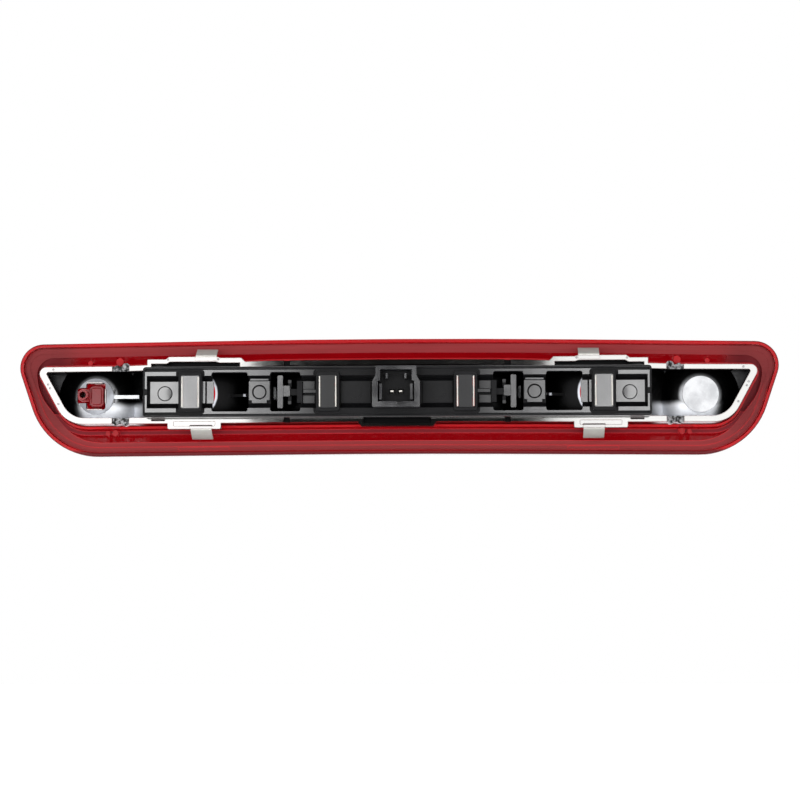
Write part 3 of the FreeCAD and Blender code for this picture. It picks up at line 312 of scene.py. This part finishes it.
def black_moulding(look, gloss, dull_and_shade):
    """Glass-filled black moulding. Eroded faces catch the light. Where dull_and_shade is 1, the moulding
    is darker, rougher and reflects less: painted shade on the carrier and the latch, duller patches on the
    ball."""
    cloud = look.noise(11 * MM, 4)
    speck = look.noise(0.35 * MM, 5, 0.7)
    plain = look.mix_colour(cloud, (0.009, 0.009, 0.010), (0.016, 0.016, 0.018))
    # Painted highlight: a lighter grey along the edges.
    plain = look.mix_colour(look.painted_edges(), plain, (0.035, 0.035, 0.038))
    look.set("Base Color", look.mix_colour(dull_and_shade, plain, (0.004, 0.004, 0.0045)))
    look.set("Specular Tint", look.mix_colour(dull_and_shade, (1.0, 1.0, 1.0), (0.08, 0.08, 0.08)))
    rough = look.total(look.ramp(cloud, 0.3, 0.7, gloss, gloss + 0.08), look.product(speck, 0.06))
    look.set("Roughness", look.total(rough, look.product(dull_and_shade, 0.3)))
    look.bump(speck, 0.15, 0.012 * MM)
    return look.material


def black_carrier():
    """Lands, labels and pads are eroded. The skirt and box rims, what the lands stand on, the tray's
    floor, the
    deep faces beside the header and, towards the middle, everything but the header get painted shade:
    darker, rougher and less reflective."""
    look = Shader("black_plastic", Specular_IOR_Level=0.9, IOR=1.52)
    depth, across = look.axis("Y"), look.distance_along("X")
    rims = look.band(depth, CARRIER_REAR - 0.6 * MM, CARRIER_REAR + 0.4 * MM, 0.05 * MM)
    under_lands = look.band(depth, CARRIER_REAR + 1.6 * MM, CARRIER_REAR + 2.9 * MM)
    tray_floor = look.ramp(depth, CARRIER_REAR + 5.6 * MM, CARRIER_REAR + 6.1 * MM)
    middle = look.product(look.ramp(across, 75 * MM, 35 * MM, 0.0, 0.83),
                          look.ramp(depth, CARRIER_REAR - 3 * MM, CARRIER_REAR - 1 * MM))
    beside_header = look.product(look.ramp(across, 40 * MM, 34 * MM, 0.0, 0.97),
                                 look.ramp(depth, CARRIER_REAR + 4.4 * MM, CARRIER_REAR + 4.8 * MM))
    dull_and_shade = look.largest(rims, under_lands, tray_floor, middle, beside_header)
    return black_moulding(look, 0.10, dull_and_shade)


def black_latch():
    """Eroded at the rear; where the lever reaches into the carrier, painted shade: darker and rougher."""
    look = Shader("black_latch", Specular_IOR_Level=0.9, IOR=1.52)
    dull_and_shade = look.ramp(look.axis("Y"), CARRIER_REAR + 3.6 * MM, CARRIER_REAR + 4.2 * MM)
    return black_moulding(look, 0.12, dull_and_shade)


def black_ball():
    """Satin, and a little duller in patches."""
    look = Shader("black_ball", Specular_IOR_Level=0.7, IOR=1.5)
    return black_moulding(look, 0.3, look.ramp(look.noise(3 * MM), 0.4, 0.8, 0.0, 0.3))


def red_nozzle():
    """Cloudy dark red moulding, with a painted highlight along its edges."""
    look = Shader("red_nozzle", IOR=1.5, Transmission_Weight=0.2, Specular_IOR_Level=0.1)
    cloud = look.noise(5 * MM, 4)
    plain = look.mix_colour(cloud, (0.10, 0.003, 0.005), (0.17, 0.006, 0.009))
    look.set("Base Color", look.mix_colour(look.painted_edges(), plain, (0.36, 0.02, 0.025)))
    look.set("Roughness", look.ramp(cloud, 0.3, 0.7, 0.12, 0.28))
    look.bump(look.noise(0.6 * MM, 4), 0.15, 0.05 * MM)
    return look.material


def metal(name, dark, light, rough, along):
    """Rolled or drawn metal, with fine lines that run one way."""
    look = Shader(name, Metallic=1.0)
    lines = look.noise(0.8 * MM, 6, 0.65, stretch=along)
    cloud = look.noise(4 * MM, 3)
    look.set("Base Color", look.mix_colour(cloud, dark, light))
    look.set("Roughness", look.ramp(lines, 0.25, 0.75, rough, rough + 0.2))
    look.bump(lines, 0.2, 0.04 * MM)
    return look.material


def bulb_glass():
    """Soda-lime glass with faint drawing waves."""
    look = Shader("bulb_glass", IOR=1.5, Transmission_Weight=1.0)
    wave = look.noise(3 * MM, 2, stretch=(1, 0.3, 1))
    look.set("Base Color", look.mix_colour(wave, (0.93, 0.96, 0.95), (1.0, 1.0, 1.0)))
    look.set("Roughness", look.ramp(wave, 0.3, 0.7, 0.0, 0.03))
    look.bump(wave, 0.15, 0.1 * MM)
    return look.material


ALONG_X, ALONG_Y, ALONG_Z = (0.1, 1, 1), (1, 0.1, 1), (1, 1, 0.1)     # which way a metal's lines run
MATERIALS = {
    "red_lens": red_lens(),
    "chrome_housing": chrome_housing(),
    "red_nozzle": red_nozzle(),
    "black_ball": black_ball(),
    "black_plastic": black_carrier(),
    "black_latch": black_latch(),
    "spring_steel": metal("spring_steel", (0.26, 0.256, 0.24), (0.34, 0.336, 0.315), 0.34, ALONG_X),
    "tinned_brass": metal("tinned_brass", (0.26, 0.25, 0.23), (0.34, 0.33, 0.31), 0.35, ALONG_Z),
    "lead_wire": metal("lead_wire", (0.50, 0.44, 0.38), (0.62, 0.56, 0.50), 0.3, ALONG_Y),
    "tungsten": metal("tungsten", (0.16, 0.16, 0.17), (0.26, 0.26, 0.27), 0.4, ALONG_Z),
    "bulb_glass": bulb_glass(),
}

for part in frame["record"]["subparts"]:
    piece = nodes[part["node"]]
    piece.data.materials.clear()
    piece.data.materials.append(MATERIALS[part["material_slot"]])


# ---------------------------------------------------------------- studio
def floor():
    """A plain pale floor, well below the lamp, which hangs in the air as in a catalogue picture."""
    half, drop = 6.0, 0.30
    mesh = bpy.data.meshes.new("floor")
    corners = [(-half, -half, -drop), (half, -half, -drop), (half, half, -drop), (-half, half, -drop)]
    mesh.from_pydata(corners, [], [(0, 1, 2, 3)])
    plane = bpy.data.objects.new("floor", mesh)
    bpy.context.collection.objects.link(plane)
    look = Shader("floor_paint", Roughness=0.9, Emission_Strength=1.0, Emission_Color=(1.0, 1.0, 1.0, 1.0))
    look.set("Base Color", look.mix_colour(look.noise(0.2, 3), (0.90, 0.90, 0.90), (0.93, 0.93, 0.93)))
    mesh.materials.append(look.material)


def softbox(name, place, width, height, power):
    """A rectangular light that points at the lamp."""
    light = bpy.data.lights.new(name, "AREA")
    light.shape = "RECTANGLE"
    light.size = width
    light.size_y = height
    light.energy = power
    lamp = bpy.data.objects.new(name, light)
    lamp.location = place
    lamp.rotation_euler = (-Vector(place)).to_track_quat("-Z", "Y").to_euler()
    bpy.context.collection.objects.link(lamp)


def sky():
    """White on the side that the camera looks to, fading to dark grey all round and behind it."""
    dark, white = (0.04, 0.04, 0.04, 1), (1.0, 1.0, 1.0, 1)
    fade_start, fade_end = 0.1, 0.75         # Y of the direction
    world = bpy.data.worlds.new("studio")
    bpy.context.scene.world = world
    world.use_nodes = True
    tree = world.node_tree
    background = tree.nodes["Background"]
    background.inputs["Strength"].default_value = 1.0
    direction = tree.nodes.new("ShaderNodeTexCoord")
    parts = tree.nodes.new("ShaderNodeSeparateXYZ")
    spread = tree.nodes.new("ShaderNodeMapRange")
    spread.inputs["From Min"].default_value = fade_start
    spread.inputs["From Max"].default_value = fade_end
    shade = tree.nodes.new("ShaderNodeMix")
    shade.data_type = "RGBA"
    shade.inputs[COLOUR_A].default_value = dark
    shade.inputs[COLOUR_B].default_value = white
    tree.links.new(direction.outputs["Generated"], parts.inputs[0])
    tree.links.new(parts.outputs["Y"], spread.inputs["Value"])
    tree.links.new(spread.outputs["Result"], shade.inputs[FACTOR])
    tree.links.new(shade.outputs[MIXED], background.inputs["Color"])


def camera():
    """At the back of the lamp, slightly below it and to the right. Returns its X."""
    distance, azimuth, elevation, roll = 1.4, 1.8, -4.6, 0.1         # angles in degrees
    frame_width, sensor = 0.416, 0.036
    aim = Vector((0.0009, 0.0, -0.0015))
    made = bpy.data.cameras.new("camera")
    made.sensor_width = sensor / MM
    made.lens = made.sensor_width * distance / frame_width
    eye = bpy.data.objects.new("camera", made)
    round_z, up = math.radians(azimuth), math.radians(elevation)
    level = math.cos(up)
    towards_eye = Vector((math.sin(round_z) * level, -math.cos(round_z) * level, math.sin(up)))
    eye.location = aim + towards_eye * distance
    eye.rotation_euler = (math.radians(90) - up, math.radians(roll), round_z)
    bpy.context.collection.objects.link(eye)
    bpy.context.scene.camera = eye
    return eye.location.x


def lights(eye_x):
    """A box on each side of where flat rear faces mirror the camera, and one above."""
    for word, x, power in (("left", -0.61, 18.5), ("right", 0.61, 15.5)):
        softbox(f"softbox_{word}", (x - eye_x, -1.45, 0.08), width=0.96, height=0.9, power=power)
    softbox("softbox_top", (0, -0.1, 1.3), width=1.4, height=0.7, power=12)


eye_x = camera()
floor()
sky()
lights(eye_x)
bpy.context.scene.view_settings.view_transform = "Standard"
